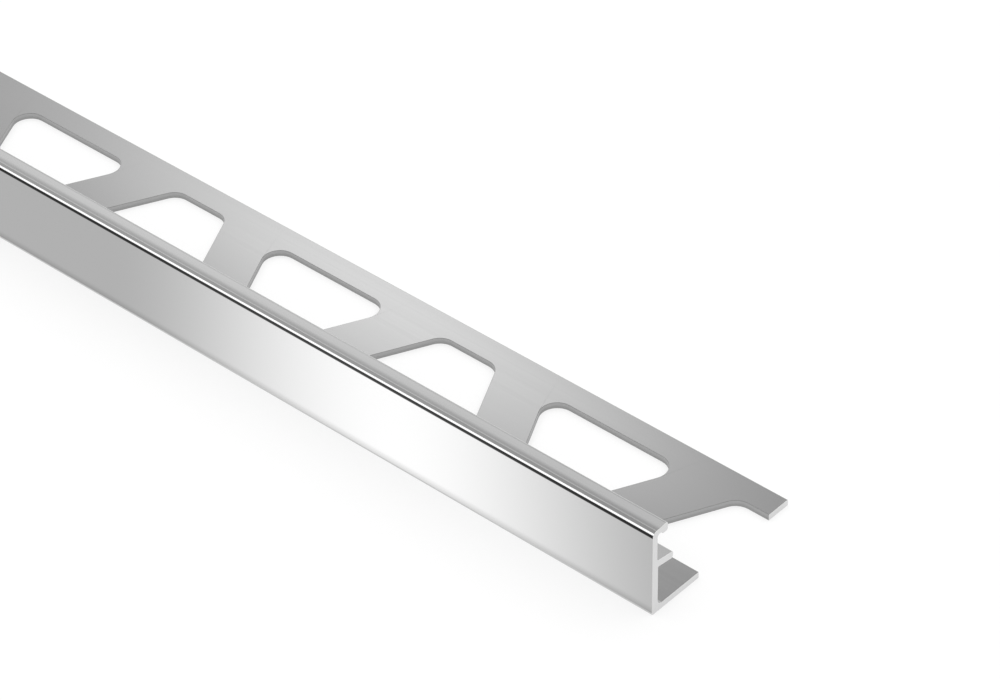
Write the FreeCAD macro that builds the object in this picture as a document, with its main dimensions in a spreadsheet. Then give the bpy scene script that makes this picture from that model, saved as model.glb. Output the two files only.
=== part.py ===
import FreeCAD, Part
import Sketcher
import math
import os

# Tile edge trim: one aluminium extrusion with a punched anchoring leg
# X runs along the bar, the visible face looks along -Y and the leg lies on Z = 0

doc = FreeCAD.newDocument("tile_edge_trim")

# Driving dimensions, in millimetres and degrees

DIMENSIONS = [
    ("stock_length", 1000.0, "length of one bar"),
    ("trim_height", 12.5, "underside of the leg to the flat top of the lip"),
    ("leg_depth", 25.0, "visible face to the back edge of the leg"),
    ("leg_gauge", 0.9, "thickness of the anchoring leg"),
    ("wall_lower", 1.0, "thickness of the face wall below the fin"),
    ("wall_upper", 0.85, "thickness of the face wall above the fin"),
    ("lip_gauge", 0.8, "thickness of the top lip"),
    ("lip_reach", 2.65, "visible face to the tip of the lip"),
    ("bead_width", 1.0, "bead along the lip, back from its tip"),
    ("bead_rise", 0.2, "tip of the lip above its flat top, at the sharp corner"),
    ("bead_drop", 0.35, "bead below the underside of the lip"),
    ("bead_ramp", 1.4, "run of the gentle slope from the flat top to the tip"),
    ("fin_top", 7.85, "top of the spacer fin where it leaves the wall"),
    ("fin_gauge", 1.0, "thickness of the fin, square to its faces"),
    ("fin_reach", 3.65, "visible face to the tip of the fin"),
    ("fin_droop", 8.0, "fall of the fin towards its tip, in degrees"),
    ("hole_wide", 22.0, "long side of a hole, at its sharp corners"),
    ("hole_narrow", 9.0, "short side of a hole, at its sharp corners"),
    ("hole_depth", 13.0, "front edge to back edge of a hole"),
    ("back_strip", 3.6, "strip of leg left behind the holes"),
    ("hole_spacing", 23.5, "one hole to the next, which is turned about"),
    ("hole_round", 2.3, "corners of a hole"),
    ("face_round", 0.7, "top edge of the visible face"),
    ("foot_round", 0.2, "bottom edge of the visible face"),
    ("leg_round", 0.15, "both back edges of the leg"),
    ("heel_fillet", 0.8, "inside corner of leg and wall"),
    ("fin_fillet", 0.15, "above and below the root of the fin"),
    ("fin_round", 0.3, "both corners of the fin's tip"),
    ("lip_fillet", 0.45, "inside corner of wall and lip"),
    ("ramp_round", 5.0, "start of the slope"),
    ("nose_round", 0.4, "top corner of the lip's tip"),
    ("bead_round", 0.3, "both lower corners of the bead"),
    ("bead_fillet", 0.12, "where the underside of the lip meets the bead"),
]

sizes = doc.addObject("Spreadsheet::Sheet", "sizes")
for row, (name, value, meaning) in enumerate(DIMENSIONS, start=1):
    sizes.set(f"A{row}", name)
    sizes.set(f"B{row}", str(value))
    sizes.set(f"C{row}", meaning)
    sizes.setAlias(f"B{row}", name)
doc.recompute()


def value_of(formula):
    result = sizes.evalExpression(formula)
    return float(getattr(result, "Value", result))


def origin_item(body, role):
    return next(item for item in body.Origin.OriginFeatures if item.Role == role)


# Outlines: sharp corners placed by the sheet, each rounded by a tangent arc

V_AXIS = -2
H_AXIS = -1
START = 1
END = 2


def bend(before, corner, after, radius):
    # where the arc that rounds the corner has its centre, starts and ends
    back = (before - corner).normalize()
    ahead = (after - corner).normalize()
    half_angle = back.getAngle(ahead) / 2
    centre = corner + (back + ahead).normalize() * (radius / math.sin(half_angle))
    setback = radius / math.tan(half_angle)
    return centre, corner + back * setback, corner + ahead * setback


def add_arc(sketch, centre, start, end, turns_left):
    first, last = (start, end) if turns_left else (end, start)
    circle = Part.Circle(centre, FreeCAD.Vector(0, 0, 1), (start - centre).Length)
    from_angle = math.atan2(first.y - centre.y, first.x - centre.x)
    to_angle = math.atan2(last.y - centre.y, last.x - centre.x)
    if to_angle < from_angle:
        to_angle += 2 * math.pi
    return sketch.addGeometry(Part.ArcOfCircle(circle, from_angle, to_angle), False)


def hold(sketch, kind, point, axis, name, formula):
    # a corner lies on an axis of the sketch, or at a distance from it that the sheet gives
    if formula == "0":
        sketch.addConstraint(Sketcher.Constraint("PointOnObject", point, START, axis))
        return
    measure = Sketcher.Constraint(kind, H_AXIS, START, point, START, value_of(formula))
    index = sketch.addConstraint(measure)
    sketch.renameConstraint(index, name)
    sketch.setExpression(f"Constraints.{name}", formula)


def draw_outline(sketch, corners):
    points = [FreeCAD.Vector(value_of(across), value_of(up), 0) for _, across, up, _ in corners]
    count = len(corners)
    arcs = []
    lefts = []
    starts = []
    ends = []
    for index, (_, _, _, rounding) in enumerate(corners):
        before = points[index - 1]
        corner = points[index]
        after = points[(index + 1) % count]
        centre, start, end = bend(before, corner, after, value_of(rounding))
        left = (corner - before).cross(after - corner).z > 0
        arcs.append(add_arc(sketch, centre, start, end, left))
        lefts.append(left)
        starts.append(start)
        ends.append(end)
    lines = []
    for index in range(count):
        side = Part.LineSegment(ends[index], starts[(index + 1) % count])
        lines.append(sketch.addGeometry(side, False))
    for index, (name, across, up, rounding) in enumerate(corners):
        arc = arcs[index]
        enters, leaves = (START, END) if lefts[index] else (END, START)
        sketch.addConstraint(Sketcher.Constraint("Tangent", lines[index - 1], END, arc, enters))
        sketch.addConstraint(Sketcher.Constraint("Tangent", arc, leaves, lines[index], START))
        corner = sketch.addGeometry(Part.Point(points[index]), True)
        sketch.addConstraint(Sketcher.Constraint("PointOnObject", corner, START, lines[index - 1]))
        sketch.addConstraint(Sketcher.Constraint("PointOnObject", corner, START, lines[index]))
        hold(sketch, "DistanceX", corner, V_AXIS, f"{name}_across", across)
        hold(sketch, "DistanceY", corner, H_AXIS, f"{name}_up", up)
        radius = sketch.addConstraint(Sketcher.Constraint("Radius", arc, value_of(rounding)))
        sketch.renameConstraint(radius, f"{name}_radius")
        sketch.setExpression(f"Constraints.{name}_radius", rounding)


# Section of the extrusion, drawn from the foot of the visible face

edge_trim = doc.addObject("PartDesign::Body", "edge_trim")
edge_trim.Label = "edge_trim"

fin_fall = "(sizes.fin_reach - sizes.wall_upper) * tan(sizes.fin_droop)"
root_fall = "(sizes.wall_lower - sizes.wall_upper) * tan(sizes.fin_droop)"
fin_height = "sizes.fin_gauge / cos(sizes.fin_droop)"
lip_under = "sizes.trim_height - sizes.lip_gauge"
bead_back = "sizes.lip_reach - sizes.bead_width"
bead_top = "sizes.trim_height + sizes.bead_rise"

SECTION = [
    ("foot", "0", "0", "sizes.foot_round"),
    ("leg_under", "sizes.leg_depth", "0", "sizes.leg_round"),
    ("leg_over", "sizes.leg_depth", "sizes.leg_gauge", "sizes.leg_round"),
    ("heel", "sizes.wall_lower", "sizes.leg_gauge", "sizes.heel_fillet"),
    ("fin_under", "sizes.wall_lower", f"sizes.fin_top - {root_fall} - {fin_height}", "sizes.fin_fillet"),
    ("tip_under", "sizes.fin_reach", f"sizes.fin_top - {fin_fall} - {fin_height}", "sizes.fin_round"),
    ("tip_over", "sizes.fin_reach", f"sizes.fin_top - {fin_fall}", "sizes.fin_round"),
    ("fin_over", "sizes.wall_upper", "sizes.fin_top", "sizes.fin_fillet"),
    ("lip_inside", "sizes.wall_upper", lip_under, "sizes.lip_fillet"),
    ("bead_root", bead_back, lip_under, "sizes.bead_fillet"),
    ("bead_inner", bead_back, f"{lip_under} - sizes.bead_drop", "sizes.bead_round"),
    ("bead_outer", "sizes.lip_reach", f"{lip_under} - sizes.bead_drop", "sizes.bead_round"),
    ("nose", "sizes.lip_reach", bead_top, "sizes.nose_round"),
    ("ramp_start", "sizes.lip_reach - sizes.bead_ramp", "sizes.trim_height", "sizes.ramp_round"),
    ("brow", "0", "sizes.trim_height", "sizes.face_round"),
]

section = edge_trim.newObject("Sketcher::SketchObject", "section")
section.AttachmentSupport = [(origin_item(edge_trim, "YZ_Plane"), "")]
section.MapMode = "FlatFace"
section.setExpression("AttachmentOffset.Base.x", "-sizes.leg_depth / 2")
draw_outline(section, SECTION)
doc.recompute()

extrusion = edge_trim.newObject("PartDesign::Pad", "extrusion")
extrusion.Profile = section
extrusion.SideType = "Symmetric"
extrusion.setExpression("Length", "sizes.stock_length")
doc.recompute()
plain_volume = extrusion.Shape.Volume

# Holes of the leg, punched in pairs: the first is cut in half by the end of the bar
# The sketch starts at that end and at the back edge of the leg

def hole_corners(name, middle, back_side, front_side):
    back = "-sizes.back_strip"
    front = "-sizes.back_strip - sizes.hole_depth"
    return [
        (f"{name}_front_in", f"{middle} - {front_side} / 2", front, "sizes.hole_round"),
        (f"{name}_front_out", f"{middle} + {front_side} / 2", front, "sizes.hole_round"),
        (f"{name}_back_out", f"{middle} + {back_side} / 2", back, "sizes.hole_round"),
        (f"{name}_back_in", f"{middle} - {back_side} / 2", back, "sizes.hole_round"),
    ]


hole_pair = edge_trim.newObject("Sketcher::SketchObject", "hole_pair")
hole_pair.AttachmentSupport = [(origin_item(edge_trim, "XY_Plane"), "")]
hole_pair.MapMode = "FlatFace"
hole_pair.setExpression("AttachmentOffset.Base.x", "sizes.stock_length / 2")
hole_pair.setExpression("AttachmentOffset.Base.y", "sizes.leg_depth / 2")
draw_outline(hole_pair, hole_corners("end", "0", "sizes.hole_narrow", "sizes.hole_wide"))
draw_outline(hole_pair, hole_corners("next", "-sizes.hole_spacing", "sizes.hole_wide", "sizes.hole_narrow"))
doc.recompute()

punching = edge_trim.newObject("PartDesign::Pocket", "punching")
punching.Profile = hole_pair
punching.Reversed = True
punching.setExpression("Length", "2 * sizes.leg_gauge")
doc.recompute()

punched_row = edge_trim.newObject("PartDesign::LinearPattern", "punched_row")
punched_row.Originals = [punching]
punched_row.Direction = (origin_item(edge_trim, "X_Axis"), [""])
punched_row.Reversed = True
punched_row.Mode = "Spacing"
punched_row.setExpression("Offset", "2 * sizes.hole_spacing")
punched_row.setExpression("Occurrences", "floor(sizes.stock_length / (2 * sizes.hole_spacing)) + 1")
edge_trim.Tip = punched_row
doc.recompute()

# Every object has worked, and the punch has taken out the holes and nothing else

for item in doc.Objects:
    if "Invalid" in item.State or "Error" in item.State:
        raise RuntimeError(f"{item.Label} did not compute: {item.State}")

shape = edge_trim.Shape
if shape.isNull() or not shape.isValid() or len(shape.Solids) != 1:
    raise RuntimeError("edge_trim is not one valid solid")

pair_area = Part.Face(hole_pair.Shape.Wires[1]).Area * 2
pairs = value_of("sizes.stock_length / (2 * sizes.hole_spacing)")
punched_volume = plain_volume - shape.Volume
expected_volume = pair_area * pairs * value_of("sizes.leg_gauge")
if abs(punched_volume / expected_volume - 1) > 1 / pairs:
    raise RuntimeError("the punched holes do not match their outline")

os.makedirs("parts", exist_ok=True)
shape.exportStep(f"parts/{edge_trim.Label}.step")

print(f"edge_trim: {shape.Volume:.0f} mm3, {len(shape.Faces)} faces, {punched_row.Occurrences} hole pairs")
print(f"box {shape.BoundBox}")
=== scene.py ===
import math

import bpy
import numpy as np
from mathutils import Matrix, Vector


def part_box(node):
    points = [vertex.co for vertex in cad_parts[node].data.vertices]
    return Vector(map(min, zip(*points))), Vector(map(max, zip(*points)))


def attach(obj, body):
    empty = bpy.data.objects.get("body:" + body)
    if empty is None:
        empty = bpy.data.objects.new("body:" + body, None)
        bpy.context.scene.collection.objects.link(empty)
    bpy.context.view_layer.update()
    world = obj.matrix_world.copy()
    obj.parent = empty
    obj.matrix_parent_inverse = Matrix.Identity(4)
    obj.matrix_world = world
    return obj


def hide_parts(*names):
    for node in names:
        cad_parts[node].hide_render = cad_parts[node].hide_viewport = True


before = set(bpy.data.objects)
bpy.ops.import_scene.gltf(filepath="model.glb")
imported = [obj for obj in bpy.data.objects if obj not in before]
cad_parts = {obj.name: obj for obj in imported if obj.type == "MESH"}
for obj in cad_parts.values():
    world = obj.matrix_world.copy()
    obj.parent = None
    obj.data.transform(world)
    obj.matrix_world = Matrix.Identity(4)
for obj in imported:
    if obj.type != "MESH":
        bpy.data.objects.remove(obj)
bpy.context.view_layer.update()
barLow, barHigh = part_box("edge_trim")
nearEnd, farEnd = barHigh.x, barLow.x  # the photograph shows the near end
faceY, backY = barLow.y, barHigh.y
mm = 0.001
print("frame loaded")


# shared helpers

def srgbToLinear(hexColour):
    # each channel: c / 12.92 below 0.04045, else ((c + 0.055) / 1.055) to the power 2.4
    channels = np.array([int(hexColour[i:i + 2], 16) / 255 for i in (1, 3, 5)])
    linear = np.where(channels <= 0.04045, channels / 12.92, ((channels + 0.055) / 1.055) ** 2.4)
    return (*linear.tolist(), 1.0)


def addNode(tree, kind, settings=None, inputs=None):
    # settings are the node's own properties, inputs are values or sockets for its inputs
    node = tree.nodes.new(kind)
    for name, value in (settings or {}).items():
        setattr(node, name, value)
    for key, value in (inputs or {}).items():
        if isinstance(value, bpy.types.NodeSocket):
            tree.links.new(value, node.inputs[key])
        else:
            node.inputs[key].default_value = value
    return node


def newMaterial(name):
    material = bpy.data.materials.new(name)
    material.use_nodes = True
    material.node_tree.nodes.clear()
    return material, material.node_tree


def addObject(name, data):
    thing = bpy.data.objects.new(name, data)
    bpy.context.scene.collection.objects.link(thing)
    return thing


def unit(vectors):
    return vectors / np.linalg.norm(vectors, axis=-1, keepdims=True)


def roundedOutline(corners, steps):
    # corners are across, up and radius, counter-clockwise. Each becomes an arc: its centre lies on
    # the corner's bisector, radius / sin(half angle) away, and its points turn evenly from the side
    # before to the side after. The second result is the normals, which point out of the outline
    corners = np.asarray(corners, float)
    points, radii = corners[:, :2], corners[:, 2:]
    back = unit(np.roll(points, 1, axis=0) - points)
    ahead = unit(np.roll(points, -1, axis=0) - points)
    halfAngle = np.arccos(np.clip((back * ahead).sum(axis=1, keepdims=True), -1, 1)) / 2
    centre = points + unit(back + ahead) * radii / np.sin(halfAngle)
    arm = points + back * radii / np.tan(halfAngle) - centre
    turn = np.sign(ahead[:, :1] * back[:, 1:] - ahead[:, 1:] * back[:, :1])
    sweep = (turn * (math.pi - 2 * halfAngle) * np.linspace(0, 1, steps + 1))[..., None]
    square = np.stack([-arm[:, 1], arm[:, 0]], axis=-1)
    turned = arm[:, None] * np.cos(sweep) + square[:, None] * np.sin(sweep)
    return centre[:, None] + turned, unit(turned) * turn[:, :, None]


# the bar: one extruded section with a row of punched holes

bar = {  # in millimetres, Y counted back from the visible face
    "trimHeight": 12.5,   # underside of the leg to the flat top of the lip
    "legGauge": 0.9,
    "wallLower": 1.0,     # the wall is a little thicker below the fin
    "wallUpper": 0.85,
    "lipGauge": 0.8,
    "lipReach": 2.65,
    "beadWidth": 1.0,
    "beadRise": 0.2,
    "beadDrop": 0.35,
    "beadRamp": 1.4,      # the slope from the flat top up to the tip
    "finTop": 7.85,
    "finGauge": 1.0,
    "finReach": 3.65,
    "finDroop": 8.0,      # degrees
    "holeWide": 22.0,
    "holeNarrow": 9.0,
    "holeDepth": 13.0,
    "backStrip": 3.6,
    "holeSpacing": 23.5,
    "holeRound": 2.3,
    "faceRound": 0.7,
    "footRound": 0.2,
    "legRound": 0.15,
    "heelFillet": 0.8,
    "finFillet": 0.15,
    "finRound": 0.3,
    "lipFillet": 0.45,
    "rampRound": 5.0,
    "noseRound": 0.4,
    "beadRound": 0.3,
    "beadFillet": 0.12,
    "rollOver": 0.05,     # the punch draws in the top edge of a hole
    "burr": 0.04,         # and breaks out at its bottom edge
    "sectionSteps": 8,
    "holeSteps": 10,
    "edgeSteps": 3,
    "mapGap": 2,          # metres
}
barLength = (nearEnd - farEnd) / mm
legDepth = (backY - faceY) / mm


def sectionOutline():
    # from the foot of the visible face back along the leg's underside, and over its top
    slope = math.tan(math.radians(bar["finDroop"]))
    finFall = (bar["finReach"] - bar["wallUpper"]) * slope
    rootFall = (bar["wallLower"] - bar["wallUpper"]) * slope
    finHeight = bar["finGauge"] / math.cos(math.radians(bar["finDroop"]))
    lipUnder = bar["trimHeight"] - bar["lipGauge"]
    beadUnder = lipUnder - bar["beadDrop"]
    beadBack = bar["lipReach"] - bar["beadWidth"]
    beadTop = bar["trimHeight"] + bar["beadRise"]
    return roundedOutline([
        (0, 0, bar["footRound"]),
        (legDepth, 0, bar["legRound"]),
        (legDepth, bar["legGauge"], bar["legRound"]),
        (bar["wallLower"], bar["legGauge"], bar["heelFillet"]),
        (bar["wallLower"], bar["finTop"] - rootFall - finHeight, bar["finFillet"]),
        (bar["finReach"], bar["finTop"] - finFall - finHeight, bar["finRound"]),
        (bar["finReach"], bar["finTop"] - finFall, bar["finRound"]),
        (bar["wallUpper"], bar["finTop"], bar["finFillet"]),
        (bar["wallUpper"], lipUnder, bar["lipFillet"]),
        (beadBack, lipUnder, bar["beadFillet"]),
        (beadBack, beadUnder, bar["beadRound"]),
        (bar["lipReach"], beadUnder, bar["beadRound"]),
        (bar["lipReach"], beadTop, bar["noseRound"]),
        (bar["lipReach"] - bar["beadRamp"], bar["trimHeight"], bar["rampRound"]),
        (0, bar["trimHeight"], bar["faceRound"]),
    ], bar["sectionSteps"])


def holeOutline(narrowBack):
    # front left, front right, back right and back left corners, seen from above
    back = legDepth - bar["backStrip"]
    front = back - bar["holeDepth"]
    frontHalf, backHalf = bar["holeNarrow"] / 2, bar["holeWide"] / 2
    if narrowBack:
        frontHalf, backHalf = backHalf, frontHalf
    corners = [(-frontHalf, front), (frontHalf, front), (backHalf, back), (-backHalf, back)]
    return roundedOutline([(*corner, bar["holeRound"]) for corner in corners], bar["holeSteps"])


def punchedWall(outline, normals, middle):
    # rings down a hole: a quarter round for the rolled edge, the straight wall, and a quarter round
    # for the burr. After a turn t the rolled edge stands off by r (1 - sin t), down by r (1 - cos t)
    turn = np.linspace(0, math.pi / 2, bar["edgeSteps"] + 1)
    roll, burr = bar["rollOver"], bar["burr"]
    standOff = np.concatenate([roll * (1 - np.sin(turn)), burr * (1 - np.cos(turn))])
    height = np.concatenate([bar["legGauge"] - roll * (1 - np.cos(turn)), burr * (1 - np.sin(turn))])
    upward = np.concatenate([np.cos(turn), -np.sin(turn)])
    inward = np.concatenate([np.sin(turn), np.cos(turn)])
    rings = np.empty((turn.size * 2, len(outline), 3))
    rings[..., :2] = outline + normals * standOff[:, None, None] + (middle, 0)
    rings[..., 2] = height[:, None]
    facing = np.empty_like(rings)
    facing[..., :2] = -normals * inward[:, None, None]
    facing[..., 2] = upward[:, None]
    return rings, facing


def gridFaces(grid):
    # one quad between each pair of neighbouring rows and columns of point numbers
    corners = [grid[:-1, :-1], grid[:-1, 1:], grid[1:, 1:], grid[1:, :-1]]
    return np.stack(corners, axis=-1).reshape(-1, 4).tolist()


def plateFaces(ring, corner):
    # flat leg round a hole: each side of the hole's ring is joined to the corner of its stretch of leg
    # that its points look to, as a triangle, or as a quad where they look to different corners
    first, second = ring[:-1], ring[1:]
    firstCorner, secondCorner = corner[:-1], corner[1:]
    same = firstCorner == secondCorner
    triangles = np.stack([second, first, firstCorner], axis=-1)[same]
    quads = np.stack([second, first, firstCorner, secondCorner], axis=-1)[~same]
    return triangles.tolist() + quads.tolist()


def barSurface():
    # the section is carried along the bar through stations halfway between the holes, but the leg's flat
    # top and underside are left open and closed round each hole. X is counted from the near end
    section, sectionFacing = (part.reshape(-1, 2) for part in sectionOutline())
    arc = bar["sectionSteps"] + 1
    columns = len(section)
    spacing = bar["holeSpacing"]
    holes = int(barLength / spacing) + 1
    stations = np.concatenate([[0], -spacing * (np.arange(holes) + 0.5), [-barLength]])
    shell = np.zeros((stations.size, columns, 3))
    shell[..., 0] = stations[:, None]
    shell[..., 1:] = section
    shellFacing = np.zeros_like(shell)
    shellFacing[..., 1:] = sectionFacing
    grid = np.arange(stations.size * columns).reshape(stations.size, columns)
    flats = [(0, arc), (arc, 3 * arc), (3 * arc, columns + 1)]  # columns between the leg's open flats
    wrapped = np.concatenate([grid, grid[:, :1]], axis=1)
    outer = []
    for start, end in flats:
        outer += gridFaces(wrapped[:, start:end][::-1])
    for column in (arc - 1, 3 * arc - 1):
        outer += gridFaces(grid[-2:, column:column + 2][::-1])

    points, facing = [shell.reshape(-1, 3)], [shellFacing.reshape(-1, 3)]
    count = grid.size
    walls, ends = [], []
    for hole in range(holes):
        outline, normals = holeOutline(hole % 2 == 0)
        steps = outline.shape[1]
        if hole == 0:  # the saw leaves half of this one: its back left and front left corners
            backCut, frontCut = (0, outline[3, 0, 1]), (0, outline[0, -1, 1])
            outline = np.concatenate([[backCut], outline[3], outline[0], [frontCut]])
            normals = np.concatenate([[(0, 1)], normals[3], normals[0], [(0, -1)]])
            looksTo = np.repeat([2, 3, 0, 1], [1, steps, steps, 1])
        else:
            outline, normals = outline.reshape(-1, 2), normals.reshape(-1, 2)
            looksTo = np.repeat([0, 1, 2, 3], steps)
        rings, ringFacing = punchedWall(outline, normals, -spacing * hole)
        numbers = count + np.arange(rings.size // 3).reshape(rings.shape[:2])
        count += numbers.size
        points.append(rings.reshape(-1, 3))
        facing.append(ringFacing.reshape(-1, 3))
        if hole == 0:
            ends.append([*grid[0, :arc], *numbers[::-1, -1], *grid[0, 3 * arc:]])
            ends.append([*grid[0, arc:3 * arc], *numbers[:, 0]])
        else:
            numbers = np.concatenate([numbers, numbers[:, :1]], axis=1)
            looksTo = np.append(looksTo, looksTo[0])
        walls += gridFaces(numbers)
        rows = [hole + 1, hole, hole, hole + 1]
        top = grid[rows, [3 * arc, 3 * arc, 3 * arc - 1, 3 * arc - 1]]
        under = grid[rows, [arc - 1, arc - 1, arc, arc]]
        outer += plateFaces(numbers[0], top[looksTo])
        outer += [face[::-1] for face in plateFaces(numbers[-1], under[looksTo])]
    ends.append(grid[-1, ::-1])
    points, facing = np.concatenate(points), np.concatenate(facing)
    return points, facing, outer, walls, [[int(number) for number in end] for end in ends]


def buildBar(materials):
    points, facing, outer, walls, ends = barSurface()
    place = Vector((nearEnd, faceY, barLow.z))
    mesh = bpy.data.meshes.new("edgeTrimBar")
    mesh.from_pydata(points * mm + np.array(place), [], outer + walls + ends)
    for material in materials:
        mesh.materials.append(material)
    finish = np.repeat([0, 1, 2], [len(outer), len(walls), len(ends)])
    mesh.polygons.foreach_set("material_index", finish.astype(np.int32))
    mesh.polygons.foreach_set("use_smooth", np.ones(finish.size, bool))

    # the UV map runs along the bar and round it, and gives the direction of drawing. The hole walls
    # and the ends lie apart on it, so that their edges don't bend that direction
    cornerFinish = np.repeat(finish, [len(face) for face in outer + walls + ends])
    corner = np.empty(len(mesh.loops), np.int32)
    mesh.loops.foreach_get("vertex_index", corner)
    over = points[:, 2] > bar["legGauge"] / 2
    around = np.where(over, points[:, 2] - points[:, 1], points[:, 1] + points[:, 2])
    uv = np.stack([points[:, 0], around], axis=-1)[corner] * mm
    uv[:, 0] += bar["mapGap"] * cornerFinish
    mesh.uv_layers.new(name="drawing").uv.foreach_set("vector", uv.astype(np.float32).ravel())

    # the normals are those of the formulas, and square to the bar on its sawn ends
    normals = unit(facing)[corner]
    sawn = cornerFinish == 2
    normals[sawn] = np.where(points[corner][sawn, :1] > -barLength / 2, (1, 0, 0), (-1, 0, 0))
    mesh.normals_split_custom_set(normals.tolist())
    piece = addObject("edge_trim_bar", mesh)
    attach(piece, "root")
    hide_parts("edge_trim")
    return piece


# finishes

anodised = {
    "colour": "#CBCBCB",
    # the next three entries are a painted reflection: the dark tint, the heights and the softness of the
    # fine dark line that the face's rounded top edge mirrors
    "paintedReflectionColour": "#303030",
    "paintedReflectionHeights": (11.69, 12.12),   # mm up the face
    "paintedReflectionSoft": 0.05,             # mm
    "roughness": 0.16,
    "anisotropy": 0.2,
    "dieLineWidth": 0.5,      # mm across; real die lines are finer than the render can show
    "dieLineLength": 180.0,   # mm
    "dieLineDepth": 0.0006,   # mm
    "dieLineDetail": 2.0,
    "clouding": 0.02,         # the roughness wanders this far up and down
    "cloudingRange": (0.3, 0.7),
}


def anodisedAluminium():
    # bright anodised aluminium, extruded through a die: a hard clear oxide on a drawn surface, whose
    # very fine die lines run along the bar and spread reflections across it
    material, tree = newMaterial("brightAnodisedAluminium")
    coordinates = addNode(tree, "ShaderNodeTexCoord")
    along, across = 1 / (anodised["dieLineLength"] * mm), 1 / (anodised["dieLineWidth"] * mm)
    stretch = addNode(tree, "ShaderNodeMapping", None, {
        "Vector": coordinates.outputs["Object"],
        "Scale": (along, across, across),
    })
    lines = addNode(tree, "ShaderNodeTexNoise", None, {
        "Vector": stretch.outputs["Vector"],
        "Scale": 1.0,
        "Detail": anodised["dieLineDetail"],
        "Roughness": 0.6,
    })
    spread = anodised["clouding"]
    gloss = addNode(tree, "ShaderNodeMapRange", None, {
        "Value": lines.outputs["Fac"],
        "From Min": anodised["cloudingRange"][0],
        "From Max": anodised["cloudingRange"][1],
        "To Min": anodised["roughness"] - spread,
        "To Max": anodised["roughness"] + spread,
    })
    grooves = addNode(tree, "ShaderNodeBump", None, {
        "Height": lines.outputs["Fac"],
        "Strength": 1.0,
        "Distance": anodised["dieLineDepth"] * mm,
    })
    # the rounded top edge of the face mirrors a dark horizon as a fine line, which no lamp can give
    # here, so that reflection is painted as a dark tint on that rounding: on between two heights, and
    # only on the front side
    parts = addNode(tree, "ShaderNodeSeparateXYZ", None, {"Vector": coordinates.outputs["Object"]})
    low, high = (barLow.z + level * mm for level in anodised["paintedReflectionHeights"])
    soft = anodised["paintedReflectionSoft"] * mm
    rising = addNode(tree, "ShaderNodeMapRange", {"interpolation_type": "SMOOTHSTEP"}, {
        "Value": parts.outputs["Z"],
        "From Min": low - soft,
        "From Max": low + soft,
    })
    falling = addNode(tree, "ShaderNodeMapRange", {"interpolation_type": "SMOOTHSTEP"}, {
        "Value": parts.outputs["Z"],
        "From Min": high + soft,
        "From Max": high - soft,
    })
    front = addNode(tree, "ShaderNodeMath", {"operation": "LESS_THAN"}, {
        0: parts.outputs["Y"],
        1: faceY + bar["faceRound"] * mm,
    })
    band = addNode(tree, "ShaderNodeMath", {"operation": "MULTIPLY"}, {
        0: rising.outputs["Result"],
        1: falling.outputs["Result"],
    })
    line = addNode(tree, "ShaderNodeMath", {"operation": "MULTIPLY"}, {
        0: band.outputs["Value"],
        1: front.outputs["Value"],
    })
    colour = addNode(tree, "ShaderNodeMix", {"data_type": "RGBA"}, {
        "Factor": line.outputs["Value"],
        6: srgbToLinear(anodised["colour"]),
        7: srgbToLinear(anodised["paintedReflectionColour"]),
    })
    direction = addNode(tree, "ShaderNodeTangent", {"direction_type": "UV_MAP", "uv_map": "drawing"})
    shader = addNode(tree, "ShaderNodeBsdfPrincipled", None, {
        "Base Color": colour.outputs[2],
        "Metallic": 1.0,
        "Roughness": gloss.outputs["Result"],
        "Anisotropic": anodised["anisotropy"],
        "Tangent": direction.outputs["Tangent"],
        "Normal": grooves.outputs["Normal"],
    })
    addNode(tree, "ShaderNodeOutputMaterial", None, {"Surface": shader.outputs["BSDF"]})
    return material


punched = {
    "colour": "#A6A6A6",
    "tornColour": "#9E9E9E",
    "tearHeight": 0.5,    # mm up the wall, below it the metal tore
    "tearSoft": 0.25,     # mm
    "roughness": 0.35,
    "tornRoughness": 0.45,
    "scoreWidth": 0.12,   # mm, the punch's scoring runs up and down the wall
    "scoreStretch": 12,   # times as long as wide
    "scoreDepth": 0.01,   # mm
}


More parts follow.
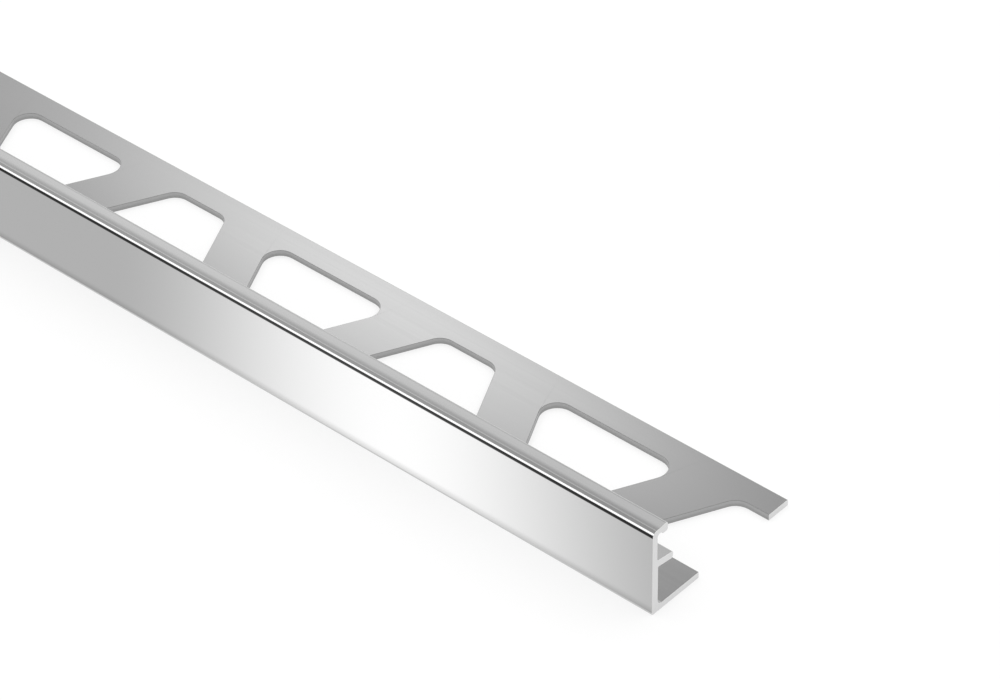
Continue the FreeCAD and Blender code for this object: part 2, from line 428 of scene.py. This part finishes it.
def punchedAluminium():
    # the walls of the holes: bare metal, sheared bright by the punch in the upper half, scored
    # upright, and torn a little duller below
    material, tree = newMaterial("punchedAluminium")
    coordinates = addNode(tree, "ShaderNodeTexCoord")
    across = 1 / (punched["scoreWidth"] * mm)
    stretch = addNode(tree, "ShaderNodeMapping", None, {
        "Vector": coordinates.outputs["Object"],
        "Scale": (across, across, across / punched["scoreStretch"]),
    })
    scores = addNode(tree, "ShaderNodeTexNoise", None, {
        "Vector": stretch.outputs["Vector"],
        "Scale": 1.0,
        "Detail": 3.0,
    })
    relief = addNode(tree, "ShaderNodeBump", None, {
        "Height": scores.outputs["Fac"],
        "Strength": 1.0,
        "Distance": punched["scoreDepth"] * mm,
    })
    parts = addNode(tree, "ShaderNodeSeparateXYZ", None, {"Vector": coordinates.outputs["Object"]})
    tear = barLow.z + punched["tearHeight"] * mm
    soft = punched["tearSoft"] * mm
    ragged = addNode(tree, "ShaderNodeMath", {"operation": "MULTIPLY_ADD"}, {
        0: scores.outputs["Fac"],
        1: soft,
        2: parts.outputs["Z"],
    })
    sheared = addNode(tree, "ShaderNodeMapRange", {"interpolation_type": "SMOOTHSTEP"}, {
        "Value": ragged.outputs["Value"],
        "From Min": tear - soft / 2,
        "From Max": tear + soft,
    })
    colour = addNode(tree, "ShaderNodeMix", {"data_type": "RGBA"}, {
        "Factor": sheared.outputs["Result"],
        6: srgbToLinear(punched["tornColour"]),
        7: srgbToLinear(punched["colour"]),
    })
    dullness = addNode(tree, "ShaderNodeMapRange", None, {
        "Value": sheared.outputs["Result"],
        "To Min": punched["tornRoughness"],
        "To Max": punched["roughness"],
    })
    shader = addNode(tree, "ShaderNodeBsdfPrincipled", None, {
        "Base Color": colour.outputs[2],
        "Metallic": 1.0,
        "Roughness": dullness.outputs["Result"],
        "Normal": relief.outputs["Normal"],
    })
    addNode(tree, "ShaderNodeOutputMaterial", None, {"Surface": shader.outputs["BSDF"]})
    return material


sawn = {
    "colour": "#DDDDDD",
    "roughness": 0.45,
    "markWidth": 0.22,    # mm between the saw's marks
    "markStretch": 25,    # times as long as wide
    "markDepth": 0.006,   # mm
    "markLean": 12,       # degrees
}


def sawnAluminium():
    # the ends: bare aluminium, cut by a fine-toothed saw that leaves faint upright marks
    material, tree = newMaterial("sawnAluminium")
    coordinates = addNode(tree, "ShaderNodeTexCoord")
    across = 1 / (sawn["markWidth"] * mm)
    stretch = addNode(tree, "ShaderNodeMapping", None, {
        "Vector": coordinates.outputs["Object"],
        "Rotation": (math.radians(sawn["markLean"]), 0, 0),
        "Scale": (across, across, across / sawn["markStretch"]),
    })
    marks = addNode(tree, "ShaderNodeTexNoise", None, {
        "Vector": stretch.outputs["Vector"],
        "Scale": 1.0,
        "Detail": 2.0,
    })
    relief = addNode(tree, "ShaderNodeBump", None, {
        "Height": marks.outputs["Fac"],
        "Strength": 1.0,
        "Distance": sawn["markDepth"] * mm,
    })
    shader = addNode(tree, "ShaderNodeBsdfPrincipled", None, {
        "Base Color": srgbToLinear(sawn["colour"]),
        "Metallic": 1.0,
        "Roughness": sawn["roughness"],
        "Normal": relief.outputs["Normal"],
    })
    addNode(tree, "ShaderNodeOutputMaterial", None, {"Surface": shader.outputs["BSDF"]})
    return material


buildBar([anodisedAluminium(), punchedAluminium(), sawnAluminium()])
print("bar built")


# floor, light and camera

studio = {
    "floorColour": "#FFFFFF",
    "floorSize": 12.0,        # metres
    "floorGap": 0.02,         # mm under the bar
    "floorWhite": 0.7,        # share of plain white in what the camera and the metal see of it
    "skyLow": 0.95,           # brightness at the horizon
    "skyHigh": (0.68, 0.52),  # and overhead, far along the bar and past its near end
    "skyTurn": (0.44, 0.61),  # between these heights, as parts of the way up, it changes
    "skySide": (-0.55, -0.45),  # and between these ways along the bar
}


def buildSheet(name, acrossX, acrossY, level, material):
    mesh = bpy.data.meshes.new(name)
    ways = zip(np.repeat(acrossX, 2), np.array(acrossY)[[0, 1, 1, 0]])
    corners = [(x, y, level) for x, y in ways]
    mesh.from_pydata(corners, [], [(0, 3, 2, 1)])
    mesh.materials.append(material)
    sheet = addObject(name, mesh)
    return sheet


def buildFloor():
    # a matt floor that keeps the bar's shadow, whitened for the camera and for what the metal mirrors
    material, tree = newMaterial("paleFloor")
    matt = addNode(tree, "ShaderNodeBsdfDiffuse", None, {
        "Color": srgbToLinear(studio["floorColour"]),
    })
    white = addNode(tree, "ShaderNodeEmission", None, {"Strength": 1.0})
    rays = addNode(tree, "ShaderNodeLightPath")
    seen = rays.outputs["Is Camera Ray"]
    for kind in ("Is Glossy Ray", "Is Transmission Ray"):
        both = addNode(tree, "ShaderNodeMath", {"operation": "ADD"}, {
            0: seen,
            1: rays.outputs[kind],
        })
        seen = both.outputs[0]
    share = addNode(tree, "ShaderNodeMath", {"operation": "MULTIPLY"}, {
        0: seen,
        1: studio["floorWhite"],
    })
    mix = addNode(tree, "ShaderNodeMixShader", None, {
        0: share.outputs[0],
        1: matt.outputs["BSDF"],
        2: white.outputs["Emission"],
    })
    addNode(tree, "ShaderNodeOutputMaterial", None, {"Surface": mix.outputs["Shader"]})
    half = studio["floorSize"] / 2
    level = barLow.z - studio["floorGap"] * mm
    buildSheet("studio_floor", (-half, half), (-half, half), level, material)


def buildSky():
    # a plain sky, brighter towards the horizon, and overhead brighter far along the bar
    world = bpy.data.worlds.new("studio")
    bpy.context.scene.world = world
    world.use_nodes = True
    tree = world.node_tree
    tree.nodes.clear()
    direction = addNode(tree, "ShaderNodeTexCoord")
    parts = addNode(tree, "ShaderNodeSeparateXYZ", None, {"Vector": direction.outputs["Generated"]})
    overhead = addNode(tree, "ShaderNodeMapRange", {"interpolation_type": "SMOOTHSTEP"}, {
        "Value": parts.outputs["X"],
        "From Min": studio["skySide"][0],
        "From Max": studio["skySide"][1],
        "To Min": studio["skyHigh"][0],
        "To Max": studio["skyHigh"][1],
    })
    sky = addNode(tree, "ShaderNodeMapRange", {"interpolation_type": "SMOOTHSTEP"}, {
        "Value": parts.outputs["Z"],
        "From Min": studio["skyTurn"][0],
        "From Max": studio["skyTurn"][1],
        "To Min": studio["skyLow"],
        "To Max": overhead.outputs["Result"],
    })
    background = addNode(tree, "ShaderNodeBackground", None, {"Strength": sky.outputs["Result"]})
    addNode(tree, "ShaderNodeOutputWorld", None, {"Surface": background.outputs["Background"]})


# soft boxes hang with one side parallel to the bar and face its line. The angle is in degrees, from
# level behind the bar over the top to level in front. Metres, along the bar from its near end. One
# lights the floor alone, the other gives the metal the white line along the face's top edge
softBoxes = {
    "edge_box": {
        "angle": 156.0,
        "away": 1.2,
        "middle": -0.93,
        "size": (1.1, 0.88),
        "glow": 0.95,
        "lights": "metal",
    },
    "floor_box": {
        "angle": 90.0,
        "away": 3.0,
        "middle": -0.5,
        "size": (7.0, 7.0),
        "glow": 0.72,
        "lights": "floor",
    },
}


def buildSoftBoxes():
    for name, box in softBoxes.items():
        lamp = bpy.data.lights.new(name, "AREA")
        lamp.shape = "RECTANGLE"
        lamp.size, lamp.size_y = box["size"]
        # an area lamp's brightness is its power / (4 x its area)
        lamp.energy = box["glow"] * 4 * lamp.size * lamp.size_y
        thing = addObject(name, lamp)
        angle = math.radians(box["angle"])
        behind, above = box["away"] * math.cos(angle), box["away"] * math.sin(angle)
        thing.location = (nearEnd + box["middle"], faceY + behind, barLow.z + above)
        thing.rotation_euler = (angle - math.pi / 2, 0, 0)
        thing.visible_diffuse = box["lights"] == "floor"
        thing.visible_glossy = box["lights"] == "metal"


# reflector cards, which only the metal sees, in millimetres from the near end and the face. Each has
# an oval bright spot, turned by some degrees. Round it the face's card stays dim, fades out at its
# front edge and is shaded where the face meets the floor, and the others are clear
cards = {
    "face_card": {
        "alongX": (-1150, 150),
        "backY": (-110, -0.05),
        "level": 0.3,
        "middle": (-39.5, 0),
        "reach": (36, 260),
        "turn": -45.0,
        "dim": 0.72,
        "glow": 1.66,
        "falloff": "SMOOTHSTEP",
        "fade": (-110, -45),
        "shade": (-0.9, 0.7),
    },
    "leg_card": {
        "alongX": (-230, 0),
        "backY": (45, 120),
        "level": 66,
        "middle": (-123, 83),
        "reach": (104, 32),
        "turn": -5.0,
        "dim": 1.2,
        "glow": 1.2,
        "falloff": "SMOOTHSTEP",
    },
    "lip_card": {
        "alongX": (-630, 250),
        "backY": (72, 175),
        "level": 200,
        "middle": (-240, 88),
        "reach": (380, 80),
        "turn": 0.0,
        "dim": 1.05,
        "glow": 1.05,
        "falloff": "LINEAR",
    },
}


def buildCards():
    for name, card in cards.items():
        material, tree = newMaterial(name)
        coordinates = addNode(tree, "ShaderNodeTexCoord")
        level = barLow.z + card["level"] * mm
        centred = addNode(tree, "ShaderNodeMapping", {"vector_type": "TEXTURE"}, {
            "Vector": coordinates.outputs["Object"],
            "Location": (nearEnd + card["middle"][0] * mm, faceY + card["middle"][1] * mm, level),
            "Rotation": (0, 0, math.radians(card["turn"])),
            "Scale": (card["reach"][0] * mm, card["reach"][1] * mm, 1),
        })
        ball = addNode(tree, "ShaderNodeTexGradient", {"gradient_type": "SPHERICAL"}, {
            "Vector": centred.outputs["Vector"],
        })
        spot = addNode(tree, "ShaderNodeMapRange", {"interpolation_type": card["falloff"]}, {
            "Value": ball.outputs["Fac"],
        })
        strength = addNode(tree, "ShaderNodeMapRange", None, {
            "Value": spot.outputs["Result"],
            "To Min": card["dim"],
            "To Max": card["glow"],
        })
        cover, brightness = spot.outputs["Result"], strength.outputs["Result"]
        if "fade" in card:
            parts = addNode(tree, "ShaderNodeSeparateXYZ", None, {
                "Vector": coordinates.outputs["Object"],
            })
            cover = addNode(tree, "ShaderNodeMapRange", {"interpolation_type": "SMOOTHSTEP"}, {
                "Value": parts.outputs["Y"],
                "From Min": faceY + card["fade"][0] * mm,
                "From Max": faceY + card["fade"][1] * mm,
            }).outputs["Result"]
            shade = addNode(tree, "ShaderNodeMapRange", None, {
                "Value": parts.outputs["Y"],
                "From Min": faceY + card["shade"][0] * mm,
                "From Max": faceY,
                "To Min": 1.0,
                "To Max": card["shade"][1],
            })
            brightness = addNode(tree, "ShaderNodeMath", {"operation": "MULTIPLY"}, {
                0: brightness,
                1: shade.outputs["Result"],
            }).outputs[0]
        light = addNode(tree, "ShaderNodeEmission", None, {"Strength": brightness})
        clear = addNode(tree, "ShaderNodeBsdfTransparent")
        mix = addNode(tree, "ShaderNodeMixShader", None, {
            0: cover,
            1: clear.outputs["BSDF"],
            2: light.outputs["Emission"],
        })
        addNode(tree, "ShaderNodeOutputMaterial", None, {"Surface": mix.outputs["Shader"]})
        alongX = [nearEnd + x * mm for x in card["alongX"]]
        backY = [faceY + y * mm for y in card["backY"]]
        sheet = buildSheet(name, alongX, backY, level, material)
        sheet.visible_camera = False
        sheet.visible_diffuse = False
        sheet.visible_shadow = False
        sheet.visible_transmission = False


view = {
    "right": 193.43,      # mm from the near end
    "front": 236.84,      # mm in front of the visible face
    "up": 286.32,         # mm above the floor
    "azimuth": 42.356,    # degrees
    "elevation": 38.967,
    "roll": -1.228,
    "lens": 132.063,      # mm
    "sensor": 36.0,       # mm
}


def buildCamera():
    camera = bpy.data.cameras.new("photographView")
    camera.lens = view["lens"]
    camera.sensor_width = view["sensor"]
    camera.clip_start = 0.01
    camera.clip_end = 100.0
    thing = addObject("photograph_view", camera)
    place = Vector((nearEnd + view["right"] * mm, faceY - view["front"] * mm, view["up"] * mm))
    turn = Matrix.Rotation(math.radians(view["azimuth"]), 4, "Z")
    turn = turn @ Matrix.Rotation(math.radians(90 - view["elevation"]), 4, "X")
    turn = turn @ Matrix.Rotation(math.radians(view["roll"]), 4, "Z")
    thing.matrix_world = Matrix.Translation(place) @ turn
    bpy.context.scene.camera = thing


buildFloor()
buildSky()
buildSoftBoxes()
buildCards()
buildCamera()
bpy.context.scene.view_settings.view_transform = "Standard"
print("studio and camera placed")
